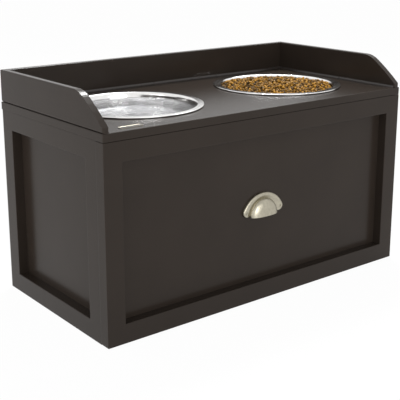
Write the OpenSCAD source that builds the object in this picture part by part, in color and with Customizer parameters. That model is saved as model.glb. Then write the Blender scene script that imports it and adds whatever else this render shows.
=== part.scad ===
// Elevated dog feeder with a storage drawer.
// Millimetres, +Z up, front towards -Y, origin in the middle of the footprint on the floor.

/* [Overall] */
// Width of the top board and the drawer front
overall_w = 600; // [560:1:640]
// Depth of the top board
overall_d = 300; // [300:1:320]
// Height to the top of the gallery
overall_h = 362; // [360:1:380]
// How far the carcass and the gallery stand back from the top board's edges
inset = 1; // [0.5:0.5:2]

/* [Frame and panel] */
// Width of every stile and rail
strip_w = 30; // [26:1:34]
// Thickness of the stiles and rails
strip_t = 20; // [18:1:22]
// Depth of the recess in front of each panel
recess = 16; // [10:1:17]
// Width of the rebate that holds the panel, behind the strips
rebate_w = 8; // [5:1:10]
// Radius of the eased edges on painted boards
ease_r = 0.9; // [0.5:0.1:1.5]

/* [Carcass] */
// Thickness of the bottom board, the stretchers and the drawer box boards
board_t = 12; // [10:1:12]
// Thickness of the back panel
back_t = 5; // [3:1:6]
// Height of the stretchers under the top board
stretcher_h = 40; // [30:1:44]

/* [Tray and gallery] */
// Thickness of the top board
top_t = 12; // [10:1:14]
// Thickness of the gallery boards
gallery_t = 10; // [9:1:12]
// Height of the gallery above the tray
gallery_h = 51; // [46:1:56]
// Height of the blunt tip at the front of a gallery side
tip_h = 5; // [3:1:7]
// Length of the curved and sloping front end of a gallery side
slope_l = 76; // [70:1:80]
// Radius of the curve where the slope leaves the level top edge
crest_r = 50; // [44:1:56]
// Radius of the slightly bowed slope
slope_r = 400; // [300:10:600]
// Radius of the routed edge at the foot of the gallery's outer face
foot_r = 2.6; // [1:0.1:2.8]
// Height and depth of the bead that seals the gallery to the tray
seal_r = 3.5; // [2:0.5:5]

/* [Bowls] */
// Outer radius of a bowl's rim
bowl_r = 111; // [108:0.5:112]
// Distance between the bowls' centres
bowl_pitch = 303; // [290:1:310]
// Depth of a bowl from its rim to its inside floor
bowl_depth = 70; // [60:1:71]
// Radius of the cut-outs in the top board
cutout_r = 100.5; // [100:0.5:102]
// Thickness of the bowl's sheet
bowl_sheet = 1; // [0.8:0.1:1.2]

/* [Drawer] */
// Gap between the floor and the drawer front
floor_gap = 1.5; // [1:0.5:4]
// Gap between the drawer front and the top board
lid_gap = 0.5; // [0.4:0.1:3]
// Height of the drawer box's sides
box_h = 202; // [150:1:204]
// Thickness of the drawer's bottom panel
box_floor_t = 4; // [3:0.5:5]

/* [Runners] */
// Length of a runner
runner_l = 250; // [230:5:250]
// Space that a runner fills between the cabinet and the drawer box
runner_w = 13; // [13:0.5:14]
// Height of a runner's cabinet member
runner_h = 35; // [34:1:38]
// Height of the runners' centre line
runner_z = 72; // [60:1:100]
// Thickness of the runner's sheet
runner_sheet = 1.1; // [1:0.05:1.15]
// Radius of the runner's balls
ball_r = 1.6; // [1.5:0.05:1.6]

/* [Cup pull] */
// Outer radius of the flange
pull_flange_r = 46; // [45:0.5:48]
// Thickness of the flange
pull_flange_t = 5; // [4.5:0.5:6]
// Radius of the cup
pull_cup_r = 27.5; // [26:0.5:29]
// How far the cup stands out from its foot
pull_cup_out = 11; // [9:0.5:14]
// Thickness of the cup's wall
pull_wall = 1.8; // [1.4:0.1:2.2]
// How square the cup's shoulder is: 2 is an ellipse
pull_square = 2.5; // [2:0.1:3]
// Height of the cup's open edge above the floor
pull_z = 137.5; // [120:0.5:150]

/* [Hidden] */
$fn = 64;

paint = [0.24, 0.22, 0.20];
sealant = [0.27, 0.26, 0.25];
foil = [0.30, 0.275, 0.25];
zinc = [0.72, 0.73, 0.74];
nickel = [0.62, 0.59, 0.52];
steel = [0.80, 0.80, 0.80];
beech = [0.80, 0.66, 0.46];

half_w = overall_w / 2;
half_d = overall_d / 2;
side_x = half_w - inset;
rear_y = half_d - inset;
front_y = -half_d + strip_t;
tray_z = overall_h - gallery_h;
carcass_h = tray_z - top_t;
inner_x = side_x - strip_t;
back_y = rear_y - back_t;
side_w = rear_y - front_y;
panel_t = strip_t - recess;
arc_steps = 4;

// Drawer: the sub-front fills the carcass opening behind the frame, and the box is screwed to it
subfront_gap = 3;
box_under = 8;
floor_up = 8;
stretcher_gap = 2;
face_y = -half_d + recess;
front_h = carcass_h - lid_gap - floor_gap;
subfront_w = 2 * (inner_x - subfront_gap);
subfront_z = board_t + subfront_gap;
subfront_top = carcass_h - board_t;
subfront_back = front_y + board_t;
box_x = inner_x - runner_w;
box_z = board_t + box_under;
box_end = subfront_back + runner_l;
box_floor_z = box_z + floor_up;
groove = board_t / 2;
stretcher_y = subfront_back + stretcher_gap;

// Wood screws, the play of a fastener in its hole, and how far a cut runs past a face
screw_r = 2;
head_r = 4;
screw_tip_r = 0.4;
fit_gap = 0.1;
past = 1;

// Points of an arc about a centre
function arc(x, y, r, from, to, steps = arc_steps) =
    [for (i = [0 : steps]) let (a = from + (to - from) * i / steps) [x + r * cos(a), y + r * sin(a)]];

// Points round one corner of a section that lies towards the two signs from it
function corner(x, y, sign_x, sign_y, r, from) =
    r == 0 ? [[x, y]] : arc(x + sign_x * r, y + sign_y * r, r, from, from + 90);

// Outline of a section with a radius at each corner: upper right, upper left, lower left and lower right
function rounded(x0, y0, x1, y1, radii) = concat(
    corner(x1, y1, -1, -1, radii[0], 0), corner(x0, y1, 1, -1, radii[1], 90),
    corner(x0, y0, 1, 1, radii[2], 180), corner(x1, y0, -1, 1, radii[3], 270));

// Outline of a board's section with its four edges eased
function eased(x0, y0, x1, y1, r) = rounded(x0, y0, x1, y1, [r, r, r, r]);

// Extrude a section drawn in Y and Z along X
module along_x(x0, x1) {
    rotate([90, 0, 90]) translate([0, 0, x0]) linear_extrude(x1 - x0) children();
}

// Extrude a section drawn in X and Z along Y
module along_y(y0, y1) {
    translate([0, y1, 0]) rotate([90, 0, 0]) linear_extrude(y1 - y0) children();
}

// Extrude an outline drawn in X and Y along Z
module along_z(z0, z1) {
    translate([0, 0, z0]) linear_extrude(z1 - z0) children();
}

// Place a copy at each side of the middle plane
module both_sides() {
    children();
    mirror([1, 0, 0]) children();
}

// Block with all its edges eased, those underneath by low_r, from its lower, near left corner
module eased_block(w, t, h, r, low_r) {
    intersection() {
        along_x(0, w) polygon(rounded(0, 0, t, h, [r, r, low_r, low_r]));
        along_y(0, t) polygon(rounded(0, 0, w, h, [r, r, low_r, low_r]));
        along_z(0, h) polygon(eased(0, 0, w, t, r));
    }
}

// What the router takes off one upright edge of a frame's opening, where the frame is h high
module opening_edge(h) {
    centre_x = strip_w - ease_r;
    along_z(strip_w, h - strip_w) polygon(concat(
        [[centre_x, -past], [strip_w + past, -past], [strip_w + past, ease_r]],
        arc(centre_x, ease_r, ease_r, 0, -90)));
}

// All that is cut from a frame's strips: the rebate behind the opening and the opening's eased edges
module frame_cuts(w, h) {
    edge = strip_w - rebate_w;
    translate([edge, recess, edge]) cube([w - 2 * edge, panel_t + past, h - 2 * edge]);
    opening_edge(h);
    at_far_end(w) opening_edge(h);
    mirror([1, 0, -1]) opening_edge(w);
    at_top(h) mirror([1, 0, -1]) opening_edge(w);
}

// Left stile of a frame of width w and height h, with its face at y = 0
module stile(w, h) {
    difference() {
        intersection() {
            eased_block(w, strip_t, h, ease_r, ease_r);
            translate([-past, -past, -past]) cube([strip_w + past, strip_t + 2 * past, h + 2 * past]);
        }
        frame_cuts(w, h);
    }
}

// Bottom rail of that frame, butted between its stiles
module rail(w, h) {
    difference() {
        intersection() {
            eased_block(w, strip_t, h, ease_r, ease_r);
            translate([strip_w, -past, -past])
                cube([w - 2 * strip_w, strip_t + 2 * past, strip_w + past]);
        }
        frame_cuts(w, h);
    }
}

// Panel of that frame, held in the rebate
module panel(w, h) {
    edge = strip_w - rebate_w;
    translate([edge, recess, edge]) cube([w - 2 * edge, panel_t, h - 2 * edge]);
}

// Flip a piece of a frame of height h from its bottom edge to its top edge
module at_top(h) {
    translate([0, 0, h]) mirror([0, 0, 1]) children();
}

// Flip a piece of a frame of width w from one end to the other
module at_far_end(w) {
    translate([w, 0, 0]) mirror([1, 0, 0]) children();
}

// Frame of the left side: local x runs from the rear to the front, local y from the outer to the inner face
module at_left_side() {
    translate([-side_x, rear_y, 0]) rotate([0, 0, -90]) children();
}

// Frame of the drawer front
module at_drawer_front() {
    translate([-half_w, -half_d, floor_gap]) children();
}

// Countersunk screw along +Z with its head's top face at z = 0 and its tip below
module screw(l, r = screw_r, head = head_r) {
    rotate([180, 0, 0]) union() {
        cylinder(h = head - r, r1 = head, r2 = r);
        cylinder(h = l - r, r = r);
        translate([0, 0, l - r]) cylinder(h = r, r1 = r, r2 = screw_tip_r);
    }
}

// Hole for that screw
module screw_hole(l, r = screw_r, head = head_r) {
    rotate([180, 0, 0]) union() {
        translate([0, 0, -past]) cylinder(h = past, r = head + fit_gap);
        cylinder(h = head - r, r1 = head + fit_gap, r2 = r + fit_gap);
        cylinder(h = l + fit_gap, r = r + fit_gap);
    }
}

// Dowels between the carcass boards
dowel_r = 3;
dowel_l = 28;
top_dowel_in = 8;
top_dowel_x = side_x - strip_t / 2;
top_dowel_y = [front_y + 60, rear_y - 60];
floor_dowel_y = [front_y + 50, 0, back_y - 40];
stretcher_dowel_z = [carcass_h - stretcher_h + 10, carcass_h - 10];
rear_stretcher_y = back_y - board_t;

module dowel_hole(l, r) {
    translate([0, 0, -fit_gap]) cylinder(h = l + 2 * fit_gap, r = r + fit_gap);
}

module place_top_dowels() {
    both_sides() for (y = top_dowel_y)
        translate([-top_dowel_x, y, carcass_h + top_dowel_in - dowel_l]) children();
}

module place_floor_dowels() {
    both_sides() for (y = floor_dowel_y)
        translate([-inner_x - dowel_l / 2, y, board_t / 2]) rotate([0, 90, 0]) children();
}

module place_stretcher_dowels() {
    both_sides() for (y = [stretcher_y, rear_stretcher_y]) for (z = stretcher_dowel_z)
        translate([-inner_x - dowel_l / 2, y + board_t / 2, z]) rotate([0, 90, 0]) children();
}

module all_frame_dowel_holes() {
    place_top_dowels() dowel_hole(dowel_l, dowel_r);
    place_floor_dowels() dowel_hole(dowel_l, dowel_r);
    place_stretcher_dowels() dowel_hole(dowel_l, dowel_r);
}

// Cam fittings that pull the top board down on the side frames
cam_r = 6;
cam_t = 10;
cam_z = carcass_h - 13;
cam_y = [front_y + 90, rear_y - 90];
cam_bolt_r = 2.5;
cam_bolt_x = inner_x + cam_t / 2;
cam_bolt_in = 8;

module place_cams() {
    both_sides() for (y = cam_y)
        translate([-inner_x, y, cam_z]) rotate([0, -90, 0]) children();
}

module place_cam_bolts() {
    both_sides() for (y = cam_y)
        translate([-cam_bolt_x, y, cam_z + cam_r]) children();
}

module all_cam_holes() {
    place_cams() dowel_hole(cam_t, cam_r);
    place_cam_bolts() dowel_hole(carcass_h - cam_z - cam_r + cam_bolt_in, cam_bolt_r);
}

// Dowels that stand the gallery on the top board
gallery_dowel_r = 2;
gallery_dowel_l = 20;
gallery_dowel_in = 8;
gallery_back_x = [-220, 0, 220];
gallery_side_y = [-60, 30];

module place_gallery_dowels() {
    z = tray_z - gallery_dowel_in;
    for (x = gallery_back_x) translate([x, rear_y - gallery_t / 2, z]) children();
    both_sides() for (y = gallery_side_y) translate([gallery_t / 2 - side_x, y, z]) children();
}

module gallery_dowel_holes() {
    place_gallery_dowels() dowel_hole(gallery_dowel_l, gallery_dowel_r);
}

// Screws that hold the back panel to the rear stiles, the bottom board and the rear stretcher
back_screw_l = 16;
back_screw_r = 1.5;
back_screw_head = 3;
back_screw_z = [60, 150, 240];
back_screw_x = [-200, 0, 200];

module place_back_screws() {
    both_sides() for (z = back_screw_z)
        translate([-inner_x - rebate_w / 2, rear_y, z]) rotate([-90, 0, 0]) children();
    for (x = back_screw_x) for (z = [board_t / 2, carcass_h - stretcher_h / 2])
        translate([x, rear_y, z]) rotate([-90, 0, 0]) children();
}

module back_screw_holes() {
    place_back_screws() screw_hole(back_screw_l, back_screw_r, back_screw_head);
}

// Tray
top_edge_r = 1.4;

module top_board() {
    color(paint) difference() {
        translate([-half_w, -half_d, carcass_h])
            eased_block(overall_w, overall_d, top_t, top_edge_r, ease_r / 2);
        both_sides() translate([-bowl_pitch / 2, 0, carcass_h - past])
            cylinder(h = top_t + 2 * past, r = cutout_r, $fn = 128);
        all_frame_dowel_holes();
        all_cam_holes();
        gallery_dowel_holes();
    }
}

// Gallery round the tray: boards with softened top edges, each with its outer foot routed
gallery_edge_r = 1.8;
gallery_x = side_x - gallery_t;
gallery_y = rear_y - gallery_t;

module gallery_back() {
    top = gallery_edge_r;
    color(paint) difference() {
        intersection() {
            along_x(-side_x, side_x)
                polygon(rounded(gallery_y, tray_z, rear_y, overall_h, [top, top, 0, foot_r]));
            along_y(gallery_y, rear_y)
                polygon(rounded(-side_x, tray_z, side_x, overall_h, [top, top, foot_r, foot_r]));
        }
        gallery_dowel_holes();
    }
}

// Side view of a gallery side, from the back board to the blunt tip
tip_y = -rear_y;
tip_r = 3;
tip_flat = 2;
crest_y = tip_y + slope_l;
crest_z = overall_h - crest_r;
crest_end = 123;
crest_end_y = crest_y + crest_r * cos(crest_end);
crest_end_z = crest_z + crest_r * sin(crest_end);
slope_y = crest_end_y - slope_r * cos(crest_end);
slope_z = crest_end_z - slope_r * sin(crest_end);
slope_end = acos((tip_y + tip_flat - slope_y) / slope_r);

module gallery_side_view() {
    polygon(concat(
        [[tip_y, tray_z], [gallery_y, tray_z], [gallery_y, overall_h]],
        arc(crest_y, crest_z, crest_r, 90, crest_end, 8),
        arc(slope_y, slope_z, slope_r, crest_end, slope_end, 4),
        [[tip_y, tray_z + tip_h]]));
}

module gallery_left() {
    top = gallery_edge_r;
    color(paint) difference() {
        intersection() {
            along_x(-side_x, -gallery_x) gallery_side_view();
            along_y(tip_y, gallery_y)
                polygon(rounded(-side_x, tray_z, -gallery_x, overall_h, [top, top, foot_r, 0]));
            along_z(tray_z, overall_h)
                polygon(rounded(-side_x, tip_y, -gallery_x, gallery_y, [0, 0, tip_r, tip_r]));
        }
        gallery_dowel_holes();
    }
}

module gallery_right() {
    mirror([1, 0, 0]) gallery_left();
}

// Hollow bead along the foot of the gallery, drawn with the corner that it fills at the origin
seal_steps = 8;
seal_end_y = tip_y + tip_r;

module seal_section() {
    polygon(concat([[0, 0]], arc(seal_r, seal_r, seal_r, 270, 180, seal_steps)));
}

module tray_seal() {
    color(sealant) union() {
        along_x(-gallery_x, gallery_x) translate([gallery_y, tray_z]) mirror([1, 0]) seal_section();
        both_sides() along_y(seal_end_y, gallery_y) translate([-gallery_x, tray_z]) seal_section();
    }
}

// Left side of the cabinet
module side_holes() {
    all_frame_dowel_holes();
    all_cam_holes();
    back_screw_holes();
    runner_screw_holes();
}

module left_rear_stile() {
    color(paint) difference() {
        at_left_side() stile(side_w, carcass_h);
        translate([-inner_x - rebate_w, back_y, -past])
            cube([rebate_w + past, back_t + past, carcass_h + 2 * past]);
        side_holes();
    }
}

module left_front_stile() {
    color(paint) difference() {
        at_left_side() at_far_end(side_w) stile(side_w, carcass_h);
        side_holes();
    }
}

module left_bottom_rail() {
    color(paint) difference() {
        at_left_side() rail(side_w, carcass_h);
        side_holes();
    }
}

module left_top_rail() {
    color(paint) difference() {
        at_left_side() at_top(carcass_h) rail(side_w, carcass_h);
        side_holes();
    }
}

module left_panel() {
    color(paint) difference() {
        at_left_side() panel(side_w, carcass_h);
        side_holes();
    }
}

// Right side of the cabinet, the mirror image of the left
module right_rear_stile() {
    mirror([1, 0, 0]) left_rear_stile();
}

module right_front_stile() {
    mirror([1, 0, 0]) left_front_stile();
}

module right_bottom_rail() {
    mirror([1, 0, 0]) left_bottom_rail();
}

module right_top_rail() {
    mirror([1, 0, 0]) left_top_rail();
}

module right_panel() {
    mirror([1, 0, 0]) left_panel();
}

// Boards inside the carcass
module bottom_board() {
    color(paint) difference() {
        along_x(-inner_x, inner_x) polygon(eased(front_y, 0, back_y, board_t, ease_r / 2));
        all_frame_dowel_holes();
        back_screw_holes();
    }
}

module stretcher(y) {
    difference() {
        along_x(-inner_x, inner_x)
            polygon(eased(y, carcass_h - stretcher_h, y + board_t, carcass_h, ease_r / 2));
        all_frame_dowel_holes();
        back_screw_holes();
    }
}

module front_stretcher() {
    color(paint) stretcher(stretcher_y);
}

module rear_stretcher() {
    color(paint) stretcher(rear_stretcher_y);
}

module back_panel() {
    x = inner_x + rebate_w;
    color(paint) difference() {
        translate([-x, back_y, 0]) cube([2 * x, back_t, carcass_h]);
        back_screw_holes();
    }
}

// Carcass fasteners
module frame_dowels() {
    color(beech) {
        place_top_dowels() cylinder(h = dowel_l, r = dowel_r);
        place_floor_dowels() cylinder(h = dowel_l, r = dowel_r);
        place_stretcher_dowels() cylinder(h = dowel_l, r = dowel_r);
    }
}

module gallery_dowels() {
    color(beech) place_gallery_dowels() cylinder(h = gallery_dowel_l, r = gallery_dowel_r);
}

module cam_discs() {
    slot_w = 1.2;
    slot_l = 8;
    slot_deep = 2;
    color(zinc) place_cams() difference() {
        cylinder(h = cam_t, r = cam_r);
        for (a = [0, 90])
            rotate([0, 0, a]) translate([-slot_l / 2, -slot_w / 2, -past])
                cube([slot_l, slot_w, slot_deep + past]);
    }
}

module cam_bolts() {
    l = carcass_h - cam_z - cam_r;
    neck_r = cam_bolt_r - 0.5;
    color(zinc) place_cam_bolts() union() {
        translate([0, 0, fit_gap]) cylinder(h = l, r = neck_r);
        translate([0, 0, l]) cylinder(h = cam_bolt_in, r = cam_bolt_r);
    }
}

module back_panel_screws() {
    color(zinc) place_back_screws() screw(back_screw_l, back_screw_r, back_screw_head);
}

// Drawer front
front_screw_l = 24;
front_screw_x = [-200, 0, 200];
front_screw_z = [floor_gap + strip_w - rebate_w - 4, floor_gap + front_h - strip_w + rebate_w + 4];
pull_drop = 9.5;
pull_foot_y = 9;
pull_foot_r = 8;
pull_foot_x = sqrt(pow(pull_flange_r - pull_foot_r, 2) - pow(pull_foot_y + pull_drop, 2));
pull_dish_z = 3;
pull_screw_x = pull_foot_x + 2.3;
pull_screw_r = 1.5;
pull_screw_head = 2.8;
pull_screw_l = 18;

module place_front_screws() {
    for (x = front_screw_x) for (z = front_screw_z)
        translate([x, subfront_back, z]) rotate([-90, 0, 0]) children();
}

module front_screw_holes() {
    place_front_screws() screw_hole(front_screw_l);
}

module place_pull_screws() {
    both_sides() translate([-pull_screw_x, face_y - pull_flange_t, pull_z + pull_foot_y])
        rotate([90, 0, 0]) children();
}

module pull_screw_holes() {
    place_pull_screws() screw_hole(pull_screw_l, pull_screw_r, pull_screw_head);
}

module drawer_left_stile() {
    color(paint) at_drawer_front() stile(overall_w, front_h);
}

module drawer_right_stile() {
    color(paint) at_drawer_front() at_far_end(overall_w) stile(overall_w, front_h);
}

module drawer_bottom_rail() {
    color(paint) difference() {
        at_drawer_front() rail(overall_w, front_h);
        front_screw_holes();
    }
}

module drawer_top_rail() {
    color(paint) difference() {
        at_drawer_front() at_top(front_h) rail(overall_w, front_h);
        front_screw_holes();
    }
}

module drawer_front_panel() {
    color(paint) difference() {
        at_drawer_front() panel(overall_w, front_h);
        pull_screw_holes();
    }
}

// Drawer box
box_screw_l = 36;
box_screw_z = [box_z + 40, box_z + box_h - 30];

module place_box_screws() {
    both_sides() for (z = box_screw_z)
        translate([-box_x, box_end - board_t / 2, z]) rotate([0, -90, 0]) children();
    both_sides() for (z = box_screw_z)
        translate([-box_x + board_t / 2, front_y, z]) rotate([90, 0, 0]) children();
}

module box_screw_holes() {
    place_box_screws() screw_hole(box_screw_l);
}

module drawer_subfront() {
    color(foil) difference() {
        along_x(-subfront_w / 2, subfront_w / 2)
            polygon(eased(front_y, subfront_z, subfront_back, subfront_top, ease_r / 2));
        along_x(-box_x + groove, box_x - groove)
            translate([subfront_back - groove, box_floor_z]) square([groove + past, box_floor_t]);
        front_screw_holes();
        pull_screw_holes();
        box_screw_holes();
    }
}

module drawer_left_side() {
    color(foil) difference() {
        along_y(subfront_back, box_end)
            polygon(eased(-box_x, box_z, -box_x + board_t, box_z + box_h, ease_r / 2));
        translate([-box_x + groove, subfront_back - past, box_floor_z])
            cube([groove + past, runner_l + 2 * past, box_floor_t]);
        box_screw_holes();
        runner_screw_holes();
    }
}

module drawer_right_side() {
    mirror([1, 0, 0]) drawer_left_side();
}

module drawer_back() {
    x = box_x - board_t;
    z0 = box_floor_z + box_floor_t;
    color(foil) difference() {
        along_x(-x, x) polygon(eased(box_end - board_t, z0, box_end, box_z + box_h, ease_r / 2));
        box_screw_holes();
    }
}

module drawer_bottom() {
    x = box_x - groove;
    color(foil) translate([-x, subfront_back - groove, box_floor_z])
        cube([2 * x, runner_l + groove, box_floor_t]);
}

module drawer_front_screws() {
    color(zinc) place_front_screws() screw(front_screw_l);
}

module drawer_box_screws() {
    color(zinc) place_box_screws() screw(box_screw_l);
}

// Cup pull: drawn lying on its back, with z out of the drawer and y up. The flange's arc is struck from
// below the cup's open edge, and a shallow dish sinks it round the foot of the cup.
module pull_flange() {
    sweep = atan((pull_foot_y + pull_drop) / pull_foot_x);
    inner_r = pull_cup_r - 2 * pull_wall;
    round_r = pull_flange_t / 2;
    translate([0, -pull_drop, 0]) rotate([0, 0, sweep]) rotate_extrude(angle = 180 - 2 * sweep, $fn = 128)
        polygon(concat([[inner_r, 0], [pull_flange_r, 0]],
            arc(pull_flange_r - round_r, pull_flange_t - round_r, round_r, 0, 90),
            [[inner_r, pull_flange_t]]));
    both_sides() translate([-pull_foot_x, pull_foot_y, 0])
        rotate([0, 0, 180 - sweep]) rotate_extrude(angle = 180) polygon(concat([[0, 0], [pull_foot_r, 0]],
            arc(pull_foot_r - round_r, pull_flange_t - round_r, round_r, 0, 90),
            [[0, pull_flange_t]]));
}

module pull_dish() {
    drop = 3;
    dish_r = pull_cup_r + 7;
    curve_r = 14;
    curve_z = pull_dish_z + curve_r;
    turn = asin((curve_z - pull_flange_t) / curve_r);
    middle_r = dish_r - curve_r * cos(turn);
    translate([0, -drop, 0]) rotate_extrude($fn = 128)
        polygon(concat([[0, pull_dish_z]], arc(middle_r, curve_z, curve_r, 270, 360 - turn),
            [[dish_r, pull_flange_t + past], [0, pull_flange_t + past]]));
}

// Quarter of a squared ellipse from the foot of the cup to its crown
function cup_curve(r, out) = [for (a = [0 : 7.5 : 90])
    [r * pow(cos(a), 2 / pull_square), pull_dish_z + out * pow(sin(a), 2 / pull_square)]];

function reversed(points) = [for (i = [len(points) - 1 : -1 : 0]) points[i]];

module pull_cup() {
    inner_r = pull_cup_r - pull_wall;
    rotate_extrude(angle = 180, $fn = 128)
        polygon(concat([[pull_cup_r, 0]], cup_curve(pull_cup_r, pull_cup_out),
            reversed(cup_curve(inner_r, pull_cup_out - pull_wall)), [[inner_r, 0]]));
}

module cup_pull() {
    color(nickel) difference() {
        translate([0, face_y, pull_z]) rotate([90, 0, 0]) union() {
            difference() {
                pull_flange();
                pull_dish();
                translate([0, 0, -past])
                    cylinder(h = pull_flange_t + 2 * past, r = pull_cup_r - pull_wall / 2, $fn = 128);
            }
            pull_cup();
        }
        pull_screw_holes();
    }
}

module cup_pull_screws() {
    cross_l = 3.6;
    cross_w = 0.7;
    cross_deep = 0.8;
    color(nickel) place_pull_screws() difference() {
        screw(pull_screw_l, pull_screw_r, pull_screw_head);
        for (a = [45, 135])
            rotate([0, 0, a]) translate([-cross_l / 2, -cross_w / 2, -cross_deep])
                cube([cross_l, cross_w, cross_deep + past]);
    }
}

// Telescopic runners: sections are drawn with x from the cabinet wall to the drawer box, and their upper
// halves are mirrored. Balls roll between the cabinet and middle members, and between the middle and
// drawer members, each row where two lips curl round it.
play = 0.1;
half_sheet = runner_sheet / 2;
race_r = ball_r + play + half_sheet;
outer_ball_x = 6;
outer_ball_z = runner_h / 2 - half_sheet - race_r;
inner_ball_x = 8.3;
inner_ball_z = outer_ball_z - 2 * race_r;
middle_x = 3.75;
corner_r = 1.6;
middle_short = 1;
runner_head_r = 3.4;
runner_head_t = 1.8;
runner_screw_l = 12;
runner_screw_r = 1.5;
runner_screw_y = [subfront_back + 7, box_end - 7];
drawer_screw_y = [subfront_back + 30, 0, box_end - 30];

// Middle line of the sheet's upper half, from the web to the tip of the lip
outer_line = concat([[half_sheet, 0]],
    arc(half_sheet + corner_r, outer_ball_z + race_r - corner_r, corner_r, 180, 90),
    arc(outer_ball_x, outer_ball_z, race_r, 90, 20, 6));
middle_line = concat([[middle_x, 0]],
    arc(middle_x + corner_r, inner_ball_z + race_r - corner_r, corner_r, 180, 90),
    arc(inner_ball_x, inner_ball_z, race_r, 90, 20, 6));
drawer_line = concat([[runner_w - half_sheet, 0]],
    arc(runner_w - half_sheet - corner_r, inner_ball_z - race_r - corner_r, corner_r, 0, 90),
    arc(inner_ball_x, inner_ball_z, race_r, 270, 205, 6));

// Directions square to a line at each of its points
function square_to(line) = [for (i = [0 : len(line) - 1])
    let (d = line[min(i + 1, len(line) - 1)] - line[max(i - 1, 0)]) [-d.y, d.x] / norm(d)];

// Outline of a sheet of thickness t that follows a line up from y = 0 and its mirror image below
function sheet_outline(line, t) =
    let (out = square_to(line),
         one = [for (i = [1 : len(line) - 1]) line[i] + out[i] * t / 2],
         other = [for (i = [1 : len(line) - 1]) line[i] - out[i] * t / 2])
    concat(reversed([for (p = one) [p.x, -p.y]]), one,
        reversed(other), [for (p = other) [p.x, -p.y]]);

module sheet_section(line) {
    polygon(sheet_outline(line, runner_sheet));
}

module at_left_runner(y0, y1) {
    translate([-inner_x, 0, runner_z]) along_y(y0, y1) children();
}

// Pan-head screw that points towards +X, with its head on the plane x = 0
module pan_screw() {
    rotate([0, 90, 0]) union() {
        translate([0, 0, -runner_head_t]) cylinder(h = runner_head_t, r = runner_head_r);
        cylinder(h = runner_screw_l - runner_screw_r, r = runner_screw_r);
        translate([0, 0, runner_screw_l - runner_screw_r])
            cylinder(h = runner_screw_r, r1 = runner_screw_r, r2 = screw_tip_r);
    }
}

module pan_screw_hole() {
    rotate([0, 90, 0]) translate([0, 0, -fit_gap])
        cylinder(h = runner_screw_l + 2 * fit_gap, r = runner_screw_r + fit_gap);
}

module place_cabinet_runner_screws() {
    both_sides() for (y = runner_screw_y)
        translate([-inner_x + runner_sheet, y, runner_z]) mirror([1, 0, 0]) children();
}

module place_drawer_runner_screws() {
    both_sides() for (y = drawer_screw_y)
        translate([-box_x - runner_sheet, y, runner_z]) children();
}

module runner_screw_holes() {
    place_cabinet_runner_screws() pan_screw_hole();
    place_drawer_runner_screws() pan_screw_hole();
}

module left_cabinet_runner() {
    color(zinc) difference() {
        at_left_runner(subfront_back, box_end) sheet_section(outer_line);
        runner_screw_holes();
    }
}

module left_middle_runner() {
    color(zinc) at_left_runner(subfront_back + middle_short, box_end - middle_short)
        sheet_section(middle_line);
}

module left_drawer_runner() {
    color(zinc) difference() {
        at_left_runner(subfront_back, box_end) sheet_section(drawer_line);
        runner_screw_holes();
    }
}

module right_cabinet_runner() {
    mirror([1, 0, 0]) left_cabinet_runner();
}

module right_middle_runner() {
    mirror([1, 0, 0]) left_middle_runner();
}

module right_drawer_runner() {
    mirror([1, 0, 0]) left_drawer_runner();
}

module cabinet_runner_screws() {
    color(zinc) place_cabinet_runner_screws() pan_screw();
}

module drawer_runner_screws() {
    color(zinc) place_drawer_runner_screws() pan_screw();
}

// Ball cages: folded strips with a hole for each ball
cage_t = 0.7;
cage_lip = 1.5;
cage_y = [-40, 50];
ball_pitch = 15;
ball_y = [for (y = [cage_y[0] + ball_pitch / 2 : ball_pitch : cage_y[1]]) y];
outer_cage_x = 2;
inner_cage_x = 4.6;

module place_balls(x, z) {
    for (y = ball_y) for (side = [-1, 1])
        translate([-inner_x + x, y, runner_z + side * z]) children();
}

module cage(web_x, x, z) {
    z_out = z + cage_t / 2;
    x_out = x + cage_lip;
    color(zinc) difference() {
        at_left_runner(cage_y[0], cage_y[1]) difference() {
            translate([web_x, -z_out]) square([x_out - web_x, 2 * z_out]);
            translate([web_x + cage_t, cage_t - z_out]) square([x_out - web_x, 2 * (z_out - cage_t)]);
        }
        place_balls(x, z) translate([0, 0, -cage_t])
            cylinder(h = 2 * cage_t, r = ball_r + play / 2, $fn = 32);
    }
}

module balls(x, z) {
    color(steel) place_balls(x, z) sphere(r = ball_r, $fn = 32);
}

module left_outer_cage() {
    cage(outer_cage_x, outer_ball_x, outer_ball_z);
}

module left_inner_cage() {
    cage(inner_cage_x, inner_ball_x, inner_ball_z);
}

module left_outer_balls() {
    balls(outer_ball_x, outer_ball_z);
}

module left_inner_balls() {
    balls(inner_ball_x, inner_ball_z);
}

module right_outer_cage() {
    mirror([1, 0, 0]) left_outer_cage();
}

module right_inner_cage() {
    mirror([1, 0, 0]) left_inner_cage();
}

module right_outer_balls() {
    mirror([1, 0, 0]) left_outer_balls();
}

module right_inner_balls() {
    mirror([1, 0, 0]) left_inner_balls();
}

// Bowl, drawn about its own axis with the tray's surface at z = 0
bowl_gap = 0.3;
bowl_lean = 10;
base_r = 18;
shoulder_r = 5;
bead_r = 1.1;

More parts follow.
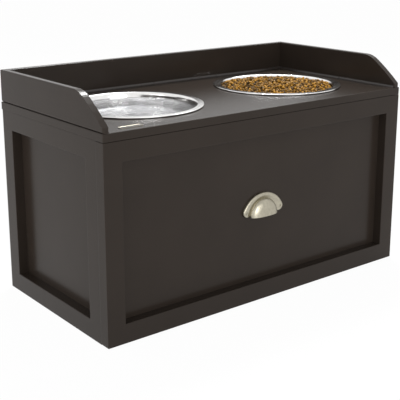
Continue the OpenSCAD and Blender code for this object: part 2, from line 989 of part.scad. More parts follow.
module bowl() {
    t = bowl_sheet;
    bead_z = bowl_gap + bead_r;
    rim_z = bead_z + bead_r;
    shoulder_x = bowl_r - 9.3;
    shoulder_z = rim_z - shoulder_r;
    floor_z = rim_z - bowl_depth;
    base_z = floor_z + base_r;
    wall_top_x = shoulder_x - shoulder_r * cos(bowl_lean);
    wall_top_z = shoulder_z + shoulder_r * sin(bowl_lean);
    wall_foot_z = base_z - base_r * sin(bowl_lean);
    wall_foot_x = wall_top_x - (wall_top_z - wall_foot_z) * tan(bowl_lean);
    base_x = wall_foot_x - base_r * cos(bowl_lean);
    rotate_extrude($fn = 128) polygon(concat(
        [[0, floor_z]],
        arc(base_x, base_z, base_r, -90, -bowl_lean, 8),
        arc(shoulder_x, shoulder_z, shoulder_r, 180 - bowl_lean, 90, 6),
        arc(bowl_r - bead_r, bead_z, bead_r, 90, -150, 12),
        [[bowl_r - 2 * bead_r - 0.4, rim_z - t]],
        arc(shoulder_x, shoulder_z, shoulder_r - t, 90, 180 - bowl_lean, 6),
        arc(base_x, base_z, base_r + t, -bowl_lean, -90, 8),
        [[0, floor_z - t]]));
}

module left_bowl() {
    color(steel) translate([-bowl_pitch / 2, 0, tray_z]) bowl();
}

module right_bowl() {
    color(steel) translate([bowl_pitch / 2, 0, tray_z]) bowl();
}

top_board();
gallery_back();
gallery_left();
gallery_right();
tray_seal();
left_front_stile();
left_rear_stile();
left_top_rail();
left_bottom_rail();
left_panel();
right_front_stile();
right_rear_stile();
right_top_rail();
right_bottom_rail();
right_panel();
bottom_board();
back_panel();
front_stretcher();
rear_stretcher();
frame_dowels();
gallery_dowels();
cam_discs();
cam_bolts();
back_panel_screws();
drawer_left_stile();
drawer_right_stile();
drawer_top_rail();
drawer_bottom_rail();
drawer_front_panel();
drawer_subfront();
drawer_left_side();
drawer_right_side();
drawer_back();
drawer_bottom();
drawer_front_screws();
drawer_box_screws();
cup_pull();
cup_pull_screws();
left_cabinet_runner();
right_cabinet_runner();
left_middle_runner();
right_middle_runner();
left_drawer_runner();
right_drawer_runner();
cabinet_runner_screws();
drawer_runner_screws();
left_outer_cage();
right_outer_cage();
left_inner_cage();
right_inner_cage();
left_outer_balls();
right_outer_balls();
left_inner_balls();
right_inner_balls();
left_bowl();
right_bowl();
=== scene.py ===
import math
import random

import bmesh
import bpy
from bpy.props import FloatProperty, FloatVectorProperty, IntProperty, PointerProperty
from mathutils import Euler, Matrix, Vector, noise
from mathutils.bvhtree import BVHTree


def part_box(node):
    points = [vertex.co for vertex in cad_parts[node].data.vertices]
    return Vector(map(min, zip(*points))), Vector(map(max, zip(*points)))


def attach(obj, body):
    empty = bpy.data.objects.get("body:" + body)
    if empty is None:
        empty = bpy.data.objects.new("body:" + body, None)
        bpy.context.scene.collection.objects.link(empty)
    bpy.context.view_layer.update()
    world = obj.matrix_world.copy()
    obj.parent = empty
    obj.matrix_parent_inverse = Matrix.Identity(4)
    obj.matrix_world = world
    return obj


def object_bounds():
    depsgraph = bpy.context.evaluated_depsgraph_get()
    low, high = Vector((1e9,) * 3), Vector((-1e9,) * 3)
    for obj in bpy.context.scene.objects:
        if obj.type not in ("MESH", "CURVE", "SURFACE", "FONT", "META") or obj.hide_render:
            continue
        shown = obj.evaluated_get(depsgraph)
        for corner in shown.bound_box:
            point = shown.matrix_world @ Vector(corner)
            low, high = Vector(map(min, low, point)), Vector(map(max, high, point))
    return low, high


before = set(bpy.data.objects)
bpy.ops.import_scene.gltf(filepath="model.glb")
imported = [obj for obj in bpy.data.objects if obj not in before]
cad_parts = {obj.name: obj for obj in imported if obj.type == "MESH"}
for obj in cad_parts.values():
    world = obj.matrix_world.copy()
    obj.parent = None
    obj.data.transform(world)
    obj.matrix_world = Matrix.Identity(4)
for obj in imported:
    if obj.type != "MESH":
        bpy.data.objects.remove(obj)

bl_info = {
    "name": "Raised Pet Feeder",
    "version": (1, 0, 0),
    "blender": (4, 5, 0),
    "location": "View3D > Sidebar > Feeder",
    "description": "Finishes a raised pet feeder: boards, steel bowls, cup pull, food and water",
    "category": "Object",
}

CAD_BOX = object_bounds()

TRAY_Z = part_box("top_board")[1].z

WALL_GAP = 0.0003
LONG_WAVES = 34
SHORT_WAVES = 90
WATER_RINGS = 36
WATER_SEGMENTS = 128

GOLDEN_ANGLE = math.pi * (3 - math.sqrt(5))
FOOD_LAYERS = 3
LAYER_TURN = 1.1
LAYER_STEP = 0.45
LAYER_BLUR = 1.1
FOOD_PITCH = 0.86
FOOD_SCATTER = 0.4
FOOD_SINK = 0.0012
FOOD_MARGIN = 0.0035
FOOD_WALL_GAP = 0.0004
BELOW_RIM = 0.0005
BED_DROP = 1.5
BED_RINGS = 10
BED_SEGMENTS = 48
LUMP_HEIGHT = 0.0018
LUMPS = 45

PLATE_LENGTH = 0.038
PLATE_WIDTH = 0.010
PLATE_THICKNESS = 0.0006
PLATE_CORNER = 0.0028
PLATE_CORNER_STEPS = 6
PLATE_EDGE = 0.0004
PLATE_SINK = 0.0002
PLATE_PLACE = (-0.243, -0.131)

SENSOR_WIDTH = 36.0
FLOOR_REACH = 6.0


def box_middle(corners):
    """Middle of a box given by its lowest and highest corners."""
    return (corners[0] + corners[1]) / 2


# Settings


class FeederSizes(bpy.types.PropertyGroup):
    """Sizes of the pieces that are made here"""

    food_drop: FloatProperty(
        name="Food Below Rim",
        description="Height of the bowl's rim above the food at the wall",
        default=0.0015, min=0.001, max=0.03, subtype="DISTANCE", unit="LENGTH",
    )
    food_crown: FloatProperty(
        name="Food Crown",
        description="Height of the heap's middle above its edge",
        default=0.004, min=0.0, max=0.02, subtype="DISTANCE", unit="LENGTH",
    )
    food_piece: FloatProperty(
        name="Food Piece Length",
        description="Length of one piece of dry food",
        default=0.0064, min=0.005, max=0.014, subtype="DISTANCE", unit="LENGTH",
    )
    food_seed: IntProperty(
        name="Food Seed",
        description="Seed of the way the food has fallen",
        default=7, min=0, max=999,
    )
    water_drop: FloatProperty(
        name="Water Below Rim",
        description="Height of the bowl's rim above the water",
        default=0.007, min=0.003, max=0.03, subtype="DISTANCE", unit="LENGTH",
    )
    ripple: FloatProperty(
        name="Ripple Height",
        description="Height of the ripples on the water",
        default=0.0010, min=0.0, max=0.002, subtype="DISTANCE", unit="LENGTH",
    )


class FeederColours(bpy.types.PropertyGroup):
    """Colours of the finishes"""

    paint: FloatVectorProperty(
        name="Board Paint",
        description="Dark satin paint on the boards",
        default=(0.0270, 0.0205, 0.0162), size=3, min=0.0, max=1.0, subtype="COLOR",
    )
    sealant: FloatVectorProperty(
        name="Tray Seal",
        description="Sealant in the corner between the tray and its gallery",
        default=(0.032, 0.026, 0.023), size=3, min=0.0, max=1.0, subtype="COLOR",
    )
    foil: FloatVectorProperty(
        name="Drawer Board",
        description="Foil on the drawer box's boards",
        default=(0.060, 0.050, 0.042), size=3, min=0.0, max=1.0, subtype="COLOR",
    )
    steel: FloatVectorProperty(
        name="Bowl Steel",
        description="Polished stainless steel of the bowls",
        default=(0.85, 0.84, 0.83), size=3, min=0.0, max=1.0, subtype="COLOR",
    )
    nickel: FloatVectorProperty(
        name="Pull Nickel",
        description="Satin nickel of the cup pull",
        default=(0.42, 0.39, 0.31), size=3, min=0.0, max=1.0, subtype="COLOR",
    )
    zinc: FloatVectorProperty(
        name="Fitting Zinc",
        description="Zinc plate on runners, screws and cams",
        default=(0.66, 0.67, 0.68), size=3, min=0.0, max=1.0, subtype="COLOR",
    )
    beech: FloatVectorProperty(
        name="Dowel Beech",
        description="Bare beech of the dowels",
        default=(0.60, 0.40, 0.22), size=3, min=0.0, max=1.0, subtype="COLOR",
    )
    food: FloatVectorProperty(
        name="Dry Food",
        description="Baked brown of the dry food",
        default=(0.29, 0.138, 0.006), size=3, min=0.0, max=1.0, subtype="COLOR",
    )


class FeederStage(bpy.types.PropertyGroup):
    """Camera, floor and lamps"""

    camera_place: FloatVectorProperty(
        name="Camera Place",
        description="Where the camera stands",
        default=(-0.9036, -1.1261, 0.5693), size=3, subtype="TRANSLATION", unit="LENGTH",
    )
    camera_turn: FloatProperty(
        name="Camera Turn",
        description="How far the camera is turned from looking straight at the front",
        default=math.radians(38.15), subtype="ANGLE", unit="ROTATION",
    )
    camera_tilt: FloatProperty(
        name="Camera Tilt",
        description="How far the camera looks down",
        default=math.radians(14.4), subtype="ANGLE", unit="ROTATION",
    )
    lens: FloatProperty(
        name="Lens",
        description="Focal length in millimetres on a 36 mm sensor",
        default=79.78, min=20.0, max=200.0,
    )
    shift: FloatProperty(
        name="Lens Shift",
        description="Upward shift of the lens as a share of the picture's width",
        default=-0.1, min=-0.1, max=0.1,
    )
    floor_colour: FloatVectorProperty(
        name="Floor Colour",
        description="Colour of the plain floor",
        default=(0.90, 0.90, 0.90), size=3, min=0.0, max=1.0, subtype="COLOR",
    )
    floor_glow: FloatProperty(
        name="Floor Whiteness",
        description="Share of plain white in the floor as the eye and metal see it",
        default=0.97, min=0.0, max=1.0, subtype="FACTOR",
    )
    fill: FloatProperty(
        name="Fill Light",
        description="Strength of the even light from all round",
        default=0.55, min=0.0, max=2.0,
    )
    front: FloatProperty(
        name="Front Light",
        description="Power of the large lamp before the drawer",
        default=21.0, min=0.0, max=200.0, subtype="POWER",
    )
    side: FloatProperty(
        name="Side Light",
        description="Power of the near lamp on the left",
        default=4.8, min=0.0, max=200.0, subtype="POWER",
    )
    key: FloatProperty(
        name="Key Light",
        description="Power of the lamp behind that glints on the curve of the left gallery board",
        default=48.0, min=0.0, max=200.0, subtype="POWER",
    )
    top: FloatProperty(
        name="Top Light",
        description="Power of the lamp above and behind the right end",
        default=8.0, min=0.0, max=200.0, subtype="POWER",
    )


def sizes():
    return bpy.context.scene.feeder_sizes


def colours():
    return bpy.context.scene.feeder_colours


def stage_settings():
    return bpy.context.scene.feeder_stage


# Finishes


class Finish:
    """A node material: makes nodes and joins them by the names of their sockets."""

    def __init__(self, name):
        self.material = bpy.data.materials.new(name)
        self.material.use_nodes = True
        self.tree = self.material.node_tree
        self.shader = self.tree.nodes["Principled BSDF"]

    def node(self, kind, **values):
        """A node of that kind, with attributes and socket values set by name."""
        made = self.tree.nodes.new(kind)
        for name, value in values.items():
            if hasattr(made, name):
                setattr(made, name, value)
            else:
                made.inputs[name.replace("_", " ").title()].default_value = value
        return made

    def join(self, source, output, target, socket):
        self.tree.links.new(source.outputs[output], target.inputs[socket])

    def set(self, **values):
        """Values set straight on the shader's own sockets."""
        for name, value in values.items():
            self.shader.inputs[name.replace("_", " ")].default_value = value

    def place(self, stretch=(1.0, 1.0, 1.0)):
        """Object coordinates in metres, stretched along the grain."""
        coordinates = self.node("ShaderNodeTexCoord")
        mapping = self.node("ShaderNodeMapping")
        mapping.inputs["Scale"].default_value = stretch
        self.join(coordinates, "Object", mapping, "Vector")
        return mapping

    def grain(self, place, scale, detail=3.0, roughness=0.55):
        texture = self.node("ShaderNodeTexNoise", scale=scale, detail=detail, roughness=roughness)
        self.join(place, "Vector", texture, "Vector")
        return texture

    def shade(self, texture, output, low, high, socket):
        """Drive a colour socket between two colours by a texture's value."""
        ramp = self.node("ShaderNodeValToRGB")
        ramp.color_ramp.elements[0].position = 0.3
        ramp.color_ramp.elements[1].position = 0.7
        ramp.color_ramp.elements[0].color = (*low, 1.0)
        ramp.color_ramp.elements[1].color = (*high, 1.0)
        self.join(texture, output, ramp, "Fac")
        self.join(ramp, "Color", self.shader, socket)
        return ramp

    def vary(self, texture, output, low, high, socket):
        """Drive a number socket between two values by a texture's value."""
        span = self.node("ShaderNodeMapRange")
        span.inputs["From Min"].default_value = 0.3
        span.inputs["From Max"].default_value = 0.7
        span.inputs["To Min"].default_value = low
        span.inputs["To Max"].default_value = high
        self.join(texture, output, span, "Value")
        self.join(span, "Result", self.shader, socket)

    def bump(self, texture, output, height, strength=1.0, after=None):
        """A bump of that height in metres, laid over an earlier one."""
        raised = self.node("ShaderNodeBump")
        raised.inputs["Strength"].default_value = strength
        raised.inputs["Distance"].default_value = height
        self.join(texture, output, raised, "Height")
        if after:
            self.join(after, "Normal", raised, "Normal")
        self.join(raised, "Normal", self.shader, "Normal")
        return raised


def tint(colour, factor):
    """A colour made lighter or darker."""
    return tuple(min(1.0, channel * factor) for channel in colour)


GRAIN_STRETCH = {"x": (0.06, 1.0, 1.0), "y": (1.0, 0.06, 1.0), "z": (1.0, 1.0, 0.06)}


def painted_board(grain_axis):
    """Dark satin paint over fine grain that runs along one axis."""
    finish = Finish("painted_board_" + grain_axis)
    colour = tuple(colours().paint)
    finish.set(Specular_IOR_Level=0.13)
    clouds = finish.grain(finish.place(), 9.0, 4.0)
    finish.shade(clouds, "Fac", tint(colour, 0.93), tint(colour, 1.07), "Base Color")
    peel = finish.grain(finish.place(), 900.0, 2.0)
    pores = finish.grain(finish.place(GRAIN_STRETCH[grain_axis]), 1100.0, 4.0, 0.65)
    finish.vary(pores, "Fac", 0.22, 0.27, "Roughness")
    low = finish.bump(pores, "Fac", 0.00002, 0.3)
    finish.bump(peel, "Fac", 0.000015, 0.3, low)
    return finish.material


def drawer_board(grain_axis):
    """Foil-covered board with a printed grain along one axis."""
    finish = Finish("drawer_board_" + grain_axis)
    colour = tuple(colours().foil)
    finish.set(Specular_IOR_Level=0.35)
    streaks = finish.grain(finish.place(GRAIN_STRETCH[grain_axis]), 260.0, 6.0, 0.65)
    finish.shade(streaks, "Fac", tint(colour, 0.72), tint(colour, 1.25), "Base Color")
    finish.vary(streaks, "Fac", 0.52, 0.42, "Roughness")
    finish.bump(streaks, "Fac", 0.00003, 0.5)
    return finish.material


def bare_beech():
    """Bare turned beech with short flecks."""
    finish = Finish("bare_beech")
    colour = tuple(colours().beech)
    finish.set(Roughness=0.62, Specular_IOR_Level=0.3)
    flecks = finish.grain(finish.place((1.0, 1.0, 0.15)), 700.0, 5.0)
    finish.shade(flecks, "Fac", tint(colour, 0.75), tint(colour, 1.15), "Base Color")
    finish.bump(flecks, "Fac", 0.00005, 0.5)
    return finish.material


def wet_sealant():
    """Dark bead of sealant, tooled smooth and a little glossier than the paint."""
    finish = Finish("sealant")
    colour = tuple(colours().sealant)
    finish.set(Specular_IOR_Level=0.5)
    tooling = finish.grain(finish.place(), 180.0, 3.0)
    finish.shade(tooling, "Fac", tint(colour, 0.9), tint(colour, 1.1), "Base Color")
    finish.vary(tooling, "Fac", 0.26, 0.36, "Roughness")
    finish.bump(tooling, "Fac", 0.00005, 0.4)
    return finish.material


def polished_steel(name):
    """Spun and polished stainless steel with faint handling marks."""
    finish = Finish(name)
    colour = tuple(colours().steel)
    finish.set(Metallic=1.0)
    smears = finish.grain(finish.place(), 26.0, 5.0)
    finish.shade(smears, "Fac", tint(colour, 0.95), tint(colour, 1.04), "Base Color")
    finish.vary(smears, "Fac", 0.12, 0.18, "Roughness")
    polish = finish.grain(finish.place((1.0, 1.0, 3.0)), 1400.0, 3.0)
    finish.bump(polish, "Fac", 0.000006, 0.35)
    return finish.material


def satin_nickel(name):
    """Cast metal with satin nickel plate, slightly mottled."""
    finish = Finish(name)
    colour = tuple(colours().nickel)
    finish.set(Metallic=1.0)
    mottle = finish.grain(finish.place(), 240.0, 4.0)
    finish.shade(mottle, "Fac", tint(colour, 0.88), tint(colour, 1.10), "Base Color")
    finish.vary(mottle, "Fac", 0.30, 0.40, "Roughness")
    cast = finish.grain(finish.place(), 1600.0, 3.0)
    finish.bump(cast, "Fac", 0.00001, 0.4)
    return finish.material


def dark_enamel():
    """Dark enamel in the plate's sunk field."""
    finish = Finish("dark_enamel")
    colour = tuple(colours().paint)
    clouds = finish.grain(finish.place(), 400.0, 3.0)
    finish.shade(clouds, "Fac", tint(colour, 0.5), tint(colour, 0.8), "Base Color")
    finish.vary(clouds, "Fac", 0.30, 0.40, "Roughness")
    finish.bump(clouds, "Fac", 0.00001, 0.5)
    return finish.material


def zinc_plate():
    """Bright zinc plate over rolled sheet, with clouding."""
    finish = Finish("zinc_plate")
    colour = tuple(colours().zinc)
    finish.set(Metallic=1.0)
    cloud = finish.grain(finish.place(), 70.0, 5.0)
    finish.shade(cloud, "Fac", tint(colour, 0.86), tint(colour, 1.08), "Base Color")
    finish.vary(cloud, "Fac", 0.26, 0.42, "Roughness")
    rolled = finish.grain(finish.place((1.0, 0.05, 1.0)), 900.0, 4.0)
    finish.bump(rolled, "Fac", 0.00001, 0.5)
    return finish.material


def clear_water():
    """Clear water with fine ripples."""
    finish = Finish("clear_water")
    finish.set(Base_Color=(0.97, 0.98, 1.0, 1.0), Roughness=0.02)
    finish.set(IOR=1.333, Transmission_Weight=1.0)
    swell = finish.grain(finish.place((1.0, 0.6, 1.0)), 60.0, 2.0)
    low = finish.bump(swell, "Fac", 0.0014, 1.0)
    ripples = finish.grain(finish.place((1.0, 0.7, 1.0)), 220.0, 3.0)
    finish.bump(ripples, "Fac", 0.0014, 1.0, low)
    return finish.material


def baked_food():
    """Dry baked food: each piece its own brown, crumbly and slightly greasy, with painted shade in the
    crevices between pieces.
    """
    finish = Finish("baked_food")
    colour = tuple(colours().food)
    finish.set(Specular_IOR_Level=0.2)
    pieces = finish.node("ShaderNodeNewGeometry")
    dark, light = tint(colour, 0.15), tint(colour, 1.9)
    ramp = finish.shade(pieces, "Random Per Island", dark, light, "Base Color")
    ramp.color_ramp.elements[0].position = 0.0
    ramp.color_ramp.elements[1].position = 1.0
    # Painted shade: an ambient occlusion node darkens the food's colour in the crevices between the
    # pieces.
    painted_crevice_shade = finish.node("ShaderNodeAmbientOcclusion", samples=8, Distance=0.005)
    finish.join(ramp, "Color", painted_crevice_shade, "Color")
    finish.join(painted_crevice_shade, "Color", finish.shader, "Base Color")
    crumbs = finish.grain(finish.place(), 900.0, 4.0, 0.7)
    finish.vary(crumbs, "Fac", 0.32, 0.55, "Roughness")
    finish.bump(crumbs, "Fac", 0.0004, 0.7)
    return finish.material


# Shapes


def link(mesh, name, body, smooth=True):
    """Make an object of a mesh and let it ride on a body."""
    piece = bpy.data.objects.new(name, mesh)
    bpy.context.scene.collection.objects.link(piece)
    if smooth:
        for face in mesh.polygons:
            face.use_smooth = True
    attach(piece, body)
    return piece


def dress(nodes, material):
    """Give carried-over CAD nodes one material."""
    for name in nodes:
        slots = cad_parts[name].data.materials
        slots.clear()
        slots.append(material)


# Pieces

SIDES = ("left", "right")
BOARDS = {
    "x": ("top_board", "gallery_back", "bottom_board", "front_stretcher", "rear_stretcher",
          "drawer_top_rail", "drawer_bottom_rail", "drawer_front_panel"),
    "y": ("gallery_left", "gallery_right", "left_top_rail", "left_bottom_rail",
          "right_top_rail", "right_bottom_rail"),
    "z": ("left_front_stile", "left_rear_stile", "left_panel",
          "right_front_stile", "right_rear_stile", "right_panel",
          "back_panel", "drawer_left_stile", "drawer_right_stile"),
}
DRAWER_BOARDS = {
    "x": ("drawer_subfront", "drawer_back", "drawer_bottom"),
    "y": ("drawer_left_side", "drawer_right_side"),
}
FITTINGS = ("cam_discs", "cam_bolts", "back_panel_screws", "drawer_front_screws",
            "drawer_box_screws", "cabinet_runner_screws", "drawer_runner_screws")
RUNNERS = tuple(f"{side}_{member}_runner" for side in SIDES for member in ("cabinet", "middle", "drawer"))
CAGES = tuple(f"{side}_{row}_cage" for side in SIDES for row in ("outer", "inner"))
BALLS = tuple(f"{side}_{row}_balls" for side in SIDES for row in ("outer", "inner"))
DOWELS = ("frame_dowels", "gallery_dowels")


class FEEDER_OT_boards(bpy.types.Operator):
    """Paint the cabinet's and the drawer front's boards"""

    bl_idname = "feeder.boards"
    bl_label = "Painted Boards"

    def execute(self, context):
        for axis, nodes in BOARDS.items():
            dress(nodes, painted_board(axis))
        dress(("tray_seal",), wet_sealant())
        return {"FINISHED"}


class FEEDER_OT_drawer_box(bpy.types.Operator):
    """Cover the drawer box's boards with grained foil"""

    bl_idname = "feeder.drawer_box"
    bl_label = "Drawer Box"

    def execute(self, context):
        for axis, nodes in DRAWER_BOARDS.items():
            dress(nodes, drawer_board(axis))
        return {"FINISHED"}


class FEEDER_OT_fittings(bpy.types.Operator):
    """Finish the runners, screws, cams and dowels"""

    bl_idname = "feeder.fittings"
    bl_label = "Runners and Fittings"

    def execute(self, context):
        dress(FITTINGS + RUNNERS + CAGES, zinc_plate())
        dress(BALLS, polished_steel("runner_steel"))
        dress(DOWELS, bare_beech())
        return {"FINISHED"}


class Bowl:
    """One steel bowl: its axis, the height of its inside floor and the radius of its inside wall."""

    def __init__(self, side):
        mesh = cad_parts[side + "_bowl"].data
        self.tree = BVHTree.FromPolygons([vertex.co for vertex in mesh.vertices],
                                         [face.vertices for face in mesh.polygons])
        low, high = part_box(side + "_bowl")
        self.middle = (low + high) / 2
        self.rim = high.z
        above = Vector((self.middle.x, self.middle.y, self.rim))
        self.floor = self.tree.ray_cast(above, Vector((0, 0, -1)))[0].z

    def radius(self, height):
        """Radius of the inside wall at that height."""
        start = Vector((self.middle.x, self.middle.y, height))
        return self.tree.ray_cast(start, Vector((1, 0, 0)))[3]

    def lining(self, top, gap, steps=14):
        """Half outline of what fills the bowl to that height, from below its middle to its edge."""
        low = self.floor + gap
        heights = [low + (top - low) * (step / steps) ** 2 for step in range(steps + 1)]
        return [(0.0, low)] + [(self.radius(height) - gap, height) for height in heights]


def spin(outline, middle, segments, lift=None):
    """Closed mesh data turned from a half outline, whose first and last points are on the axis."""
    vertices = []
    for radius, height in outline[1:-1]:
        for step in range(segments):
            angle = math.tau * step / segments
            x, y = radius * math.cos(angle), radius * math.sin(angle)
            rise = lift(x, y, radius, height) if lift else 0.0
            vertices.append((middle.x + x, middle.y + y, height + rise))
    rings = len(outline) - 2
    faces = []
    for ring in range(rings - 1):
        for step in range(segments):
            after = (step + 1) % segments
            low, high = ring * segments, (ring + 1) * segments
            faces.append((low + step, low + after, high + after, high + step))
    for (radius, height), ring in ((outline[0], 0), (outline[-1], rings - 1)):
        hub = len(vertices)
        rise = lift(0.0, 0.0, 0.0, height) if lift else 0.0
        vertices.append((middle.x, middle.y, height + rise))
        for step in range(segments):
            pair = (ring * segments + step, ring * segments + (step + 1) % segments)
            faces.append((hub, *reversed(pair)) if ring == 0 else (hub, *pair))
    return vertices, faces


def surface_rings(radius, height, rings):
    """Outline points across a level surface, from near its edge to its middle."""
    return [(radius * (rings - ring) / rings, height) for ring in range(1, rings + 1)]


class FEEDER_OT_bowls(bpy.types.Operator):
    """Polish the steel bowls"""

    bl_idname = "feeder.bowls"
    bl_label = "Steel Bowls"

    def execute(self, context):
        dress(("left_bowl", "right_bowl"), polished_steel("bowl_steel"))
        return {"FINISHED"}


class FEEDER_OT_water(bpy.types.Operator):
    """Fill the left bowl with rippled water"""

    bl_idname = "feeder.water"
    bl_label = "Water"

    def execute(self, context):
        bowl = Bowl("left")
        top = bowl.rim - sizes().water_drop
        wall = bowl.lining(top, WALL_GAP)
        ripple = sizes().ripple

        def waves(x, y, radius, height):
            if height < top:
                return 0.0
            long_wave = noise.noise(Vector((x * LONG_WAVES, y * LONG_WAVES, 1.7)))
            short_wave = noise.noise(Vector((x * SHORT_WAVES, y * SHORT_WAVES, 5.1)))
            return ripple * (0.7 * long_wave + 0.3 * short_wave) - ripple

        surface = surface_rings(wall[-1][0], top, WATER_RINGS)
        mesh = bpy.data.meshes.new("water")
        vertices, faces = spin(wall + surface, bowl.middle, WATER_SEGMENTS, waves)
        mesh.from_pydata(vertices, [], faces)
        link(mesh, "water", "left_bowl")
        mesh.materials.append(clear_water())
        return {"FINISHED"}


class FEEDER_OT_food(bpy.types.Operator):
    """Heap dry food in the right bowl"""

    bl_idname = "feeder.food"
    bl_label = "Dry Food"

    def execute(self, context):
        values = sizes()
        bowl = Bowl("right")
        chance = random.Random(values.food_seed)
        edge = bowl.rim - values.food_drop
        reach = bowl.radius(edge)

        def heap(x, y):
            """Height of the heap's surface."""
            lumps = LUMP_HEIGHT * noise.noise(Vector((x * LUMPS, y * LUMPS, 3.3)))
            return edge + values.food_crown * (1 - (x * x + y * y) / (reach * reach)) + lumps

        bed_top = edge - BED_DROP * values.food_piece
        outline = bowl.lining(bed_top, WALL_GAP)
        bed_edge = outline[-1][0]

        def bed(x, y, radius, height):
            return heap(x, y) - edge if height >= bed_top and radius < bed_edge else 0.0

        outline += surface_rings(bed_edge, bed_top, BED_RINGS)
        vertices, faces = spin(outline, bowl.middle, BED_SEGMENTS, bed)
        shape = bmesh.new()
        bmesh.ops.create_icosphere(shape, subdivisions=1, radius=0.5)
        pattern = [vertex.co.copy() for vertex in shape.verts]
        pattern_faces = [[vertex.index for vertex in face.verts] for face in shape.faces]
        shape.free()
        pitch = values.food_piece * FOOD_PITCH
        count = int(math.pi * reach * reach / (pitch * pitch))
        highest = bowl.rim - BELOW_RIM
        for layer in range(FOOD_LAYERS):
            for index in range(count):
                turn = index * GOLDEN_ANGLE + layer * LAYER_TURN
                out = (reach - FOOD_MARGIN) * math.sqrt((index + 0.5) / count)
                x = out * math.cos(turn) + chance.uniform(-FOOD_SCATTER, FOOD_SCATTER) * pitch
                y = out * math.sin(turn) + chance.uniform(-FOOD_SCATTER, FOOD_SCATTER) * pitch
                sunk = layer + chance.uniform(0.0, LAYER_BLUR)
                depth = sunk * values.food_piece * LAYER_STEP + FOOD_SINK
                place = Vector((x, y, heap(x, y) - depth))
                piece = food_piece(pattern, values.food_piece, chance)
                overshoot = max(Vector((p.x + place.x, p.y + place.y)).length
                                - bowl.radius(min(p.z + place.z, highest)) + FOOD_WALL_GAP
                                for p in piece)
                if overshoot > 0:
                    flat = Vector((place.x, place.y, 0)).normalized()
                    place -= flat * overshoot
                first = len(vertices)
                vertices += [p + place + Vector((bowl.middle.x, bowl.middle.y, 0)) for p in piece]
                faces += [[first + corner for corner in face] for face in pattern_faces]
        mesh = bpy.data.meshes.new("dry_food")
        mesh.from_pydata(vertices, [], faces)
        link(mesh, "dry_food", "right_bowl")
        mesh.materials.append(baked_food())
        return {"FINISHED"}


def food_piece(pattern, length, chance):
    """Corners of one baked piece about its own middle: a flattened bean, turned any way."""
    size = length * chance.uniform(0.75, 1.25)
    width, height = chance.uniform(0.55, 0.85), chance.uniform(0.45, 0.65)
    bend = chance.uniform(-0.25, 0.25)
    turn = (chance.uniform(-1.1, 1.1), chance.uniform(-1.1, 1.1), chance.uniform(0, math.tau))
    turned = Euler(turn).to_matrix()
    corners = []
    for point in pattern:
        corner = Vector((point.x, point.y * width + bend * point.x * point.x, point.z * height))
        dent = 1 + 0.06 * noise.noise(point * 5 + Vector((size * 9000, bend * 30, 0)))
        corners.append(turned @ (corner * (size * dent)))
    return corners


class FEEDER_OT_plate(bpy.types.Operator):
    """Lay the small bare plate on the tray's front left corner"""

    bl_idname = "feeder.plate"
    bl_label = "Bare Plate"

    def execute(self, context):
        shape = bmesh.new()
        half_length = PLATE_LENGTH / 2 - PLATE_CORNER
        half_width = PLATE_WIDTH / 2 - PLATE_CORNER
        rim = []
        for quarter, (side_x, side_y) in enumerate(((1, 1), (-1, 1), (-1, -1), (1, -1))):
            for step in range(PLATE_CORNER_STEPS + 1):
                angle = (quarter + step / PLATE_CORNER_STEPS) * math.pi / 2
                x = side_x * half_length + PLATE_CORNER * math.cos(angle)
                y = side_y * half_width + PLATE_CORNER * math.sin(angle)
                rim.append(shape.verts.new((x, y, 0)))
        face = shape.faces.new(rim)
        extruded = bmesh.ops.extrude_face_region(shape, geom=[face])["geom"]
        risen = [item for item in extruded if isinstance(item, bmesh.types.BMVert)]
        bmesh.ops.translate(shape, verts=risen, vec=(0, 0, PLATE_THICKNESS))
        bmesh.ops.recalc_face_normals(shape, faces=shape.faces)
        top = max(shape.faces, key=lambda part: part.calc_center_median().z)
        bmesh.ops.inset_region(shape, faces=[top], thickness=PLATE_EDGE, depth=-PLATE_SINK)
        top.material_index = 1
        bmesh.ops.translate(shape, verts=shape.verts, vec=(*PLATE_PLACE, TRAY_Z))
        mesh = bpy.data.meshes.new("bare_plate")
        shape.to_mesh(mesh)
        shape.free()
        link(mesh, "bare_plate", "cabinet", smooth=False)
        mesh.materials.append(satin_nickel("plate_nickel"))
        mesh.materials.append(dark_enamel())
        return {"FINISHED"}


class FEEDER_OT_pull(bpy.types.Operator):
    """Plate the cup pull and its screws"""

    bl_idname = "feeder.pull"
    bl_label = "Cup Pull"

    def execute(self, context):
        dress(("cup_pull", "cup_pull_screws"), satin_nickel("pull_nickel"))
        return {"FINISHED"}


# Stage

LAMPS = {
    "front": {"way": (-0.15, -1.0, 0.18), "reach": 2.4, "width": 1.2},
    "side": {"way": (-1.3, -0.12, 0.25), "reach": 1.0, "width": 0.6},
    "key": {"way": (0.32, 0.36, 0.88), "reach": 2.2, "width": 0.45},
    "top": {"way": (0.59, 0.275, 0.757), "reach": 2.2, "width": 0.7},
}


def area_lamp(name, place, aim, size, power):
    """A square soft lamp that faces a point."""
    lamp = bpy.data.lights.new(name, "AREA")
    lamp.shape = "SQUARE"
    lamp.size = size
    lamp.energy = power
    holder = bpy.data.objects.new(name, lamp)
    bpy.context.scene.collection.objects.link(holder)
    holder.location = place
    holder.rotation_euler = (aim - place).to_track_quat("-Z", "Y").to_euler()


def seen_by_eye(tree):
    """Output that is 1 for rays of the camera, of metal and of glass."""
    path = tree.nodes.new("ShaderNodeLightPath")
    seen = path.outputs["Is Camera Ray"]
    for kind in ("Is Glossy Ray", "Is Transmission Ray"):
        either = tree.nodes.new("ShaderNodeMath")
        either.operation = "MAXIMUM"
        tree.links.new(seen, either.inputs[0])
        tree.links.new(path.outputs[kind], either.inputs[1])
        seen = either.outputs[0]
    return seen


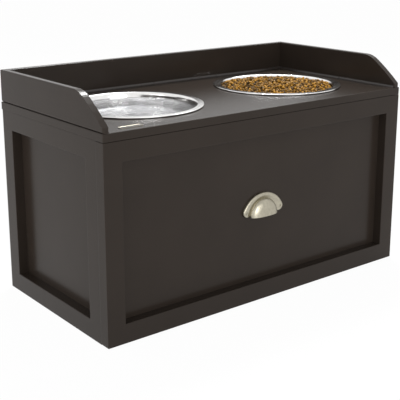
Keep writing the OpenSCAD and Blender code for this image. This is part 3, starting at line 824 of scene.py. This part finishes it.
def light_world(strength):
    """Even light from all round, and plain white where the camera, metal or glass sees it."""
    world = bpy.data.worlds.new("studio")
    bpy.context.scene.world = world
    world.use_nodes = True
    nodes, links = world.node_tree.nodes, world.node_tree.links
    nodes.clear()
    even = nodes.new("ShaderNodeBackground")
    even.inputs["Strength"].default_value = strength
    white = nodes.new("ShaderNodeBackground")
    white.inputs["Strength"].default_value = 1.0
    for ground in (even, white):
        ground.inputs["Color"].default_value = (1.0, 1.0, 1.0, 1.0)
    mix = nodes.new("ShaderNodeMixShader")
    links.new(seen_by_eye(world.node_tree), mix.inputs["Fac"])
    links.new(even.outputs[0], mix.inputs[1])
    links.new(white.outputs[0], mix.inputs[2])
    out = nodes.new("ShaderNodeOutputWorld")
    links.new(mix.outputs[0], out.inputs["Surface"])


def lay_floor(colour, glow):
    """A plain pale floor, white to the eye and to metal, that keeps the shadow."""
    mesh = bpy.data.meshes.new("floor")
    corners = [(x * FLOOR_REACH, y * FLOOR_REACH, 0) for x, y in ((-1, -1), (1, -1), (1, 1), (-1, 1))]
    mesh.from_pydata(corners, [], [(0, 1, 2, 3)])
    floor = bpy.data.objects.new("floor", mesh)
    bpy.context.scene.collection.objects.link(floor)
    finish = Finish("floor")
    finish.set(Base_Color=(*colour, 1.0), Roughness=0.9, Specular_IOR_Level=0.0)
    white = finish.node("ShaderNodeEmission")
    mix = finish.node("ShaderNodeMixShader")
    share = finish.node("ShaderNodeMath", operation="MULTIPLY")
    share.inputs[1].default_value = glow
    links = finish.tree.links
    links.new(seen_by_eye(finish.tree), share.inputs[0])
    links.new(share.outputs[0], mix.inputs["Fac"])
    links.new(finish.shader.outputs["BSDF"], mix.inputs[1])
    links.new(white.outputs["Emission"], mix.inputs[2])
    links.new(mix.outputs["Shader"], finish.tree.nodes["Material Output"].inputs["Surface"])
    mesh.materials.append(finish.material)


class FEEDER_OT_stage(bpy.types.Operator):
    """Lay the floor, hang the lamps and set up the camera"""

    bl_idname = "feeder.stage"
    bl_label = "Studio Stage"

    def execute(self, context):
        scene = context.scene
        settings = stage_settings()
        scene.view_settings.view_transform = "Standard"
        camera = bpy.data.objects.new("camera", bpy.data.cameras.new("camera"))
        scene.collection.objects.link(camera)
        camera.location = settings.camera_place
        level = math.pi / 2
        camera.rotation_euler = Euler((level - settings.camera_tilt, 0.0, -settings.camera_turn))
        camera.data.lens = settings.lens
        camera.data.sensor_width = SENSOR_WIDTH
        camera.data.shift_y = settings.shift
        scene.camera = camera
        lay_floor(tuple(settings.floor_colour), settings.floor_glow)
        light_world(settings.fill)
        aim = box_middle(CAD_BOX)
        for name, lamp in LAMPS.items():
            place = aim + Vector(lamp["way"]) * lamp["reach"]
            area_lamp(name, place, aim, lamp["width"], getattr(settings, name))
        return {"FINISHED"}


# Add-on


class FEEDER_PT_panel(bpy.types.Panel):
    """Lists the steps that finish the feeder"""

    bl_idname = "FEEDER_PT_panel"
    bl_label = "Raised Pet Feeder"
    bl_space_type = "VIEW_3D"
    bl_region_type = "UI"
    bl_category = "Feeder"

    def draw(self, context):
        for holder in GROUPS:
            group = getattr(context.scene, holder)
            box = self.layout.box()
            for name in group.__annotations__:
                box.prop(group, name)
        for step in STEPS:
            self.layout.operator(step.bl_idname)


STEPS = (
    FEEDER_OT_stage,
    FEEDER_OT_boards,
    FEEDER_OT_drawer_box,
    FEEDER_OT_fittings,
    FEEDER_OT_bowls,
    FEEDER_OT_pull,
    FEEDER_OT_water,
    FEEDER_OT_food,
    FEEDER_OT_plate,
)
GROUPS = {"feeder_sizes": FeederSizes, "feeder_colours": FeederColours, "feeder_stage": FeederStage}


def register():
    for group in GROUPS.values():
        bpy.utils.register_class(group)
    for name, group in GROUPS.items():
        setattr(bpy.types.Scene, name, PointerProperty(type=group))
    for step in STEPS:
        bpy.utils.register_class(step)
    bpy.utils.register_class(FEEDER_PT_panel)


def unregister():
    bpy.utils.unregister_class(FEEDER_PT_panel)
    for step in reversed(STEPS):
        bpy.utils.unregister_class(step)
    for name in GROUPS:
        delattr(bpy.types.Scene, name)
    for group in GROUPS.values():
        bpy.utils.unregister_class(group)


def main():
    register()
    for step in STEPS:
        group, name = step.bl_idname.split(".")
        getattr(getattr(bpy.ops, group), name)()
    bpy.context.view_layer.update()


if __name__ == "__main__":
    main()
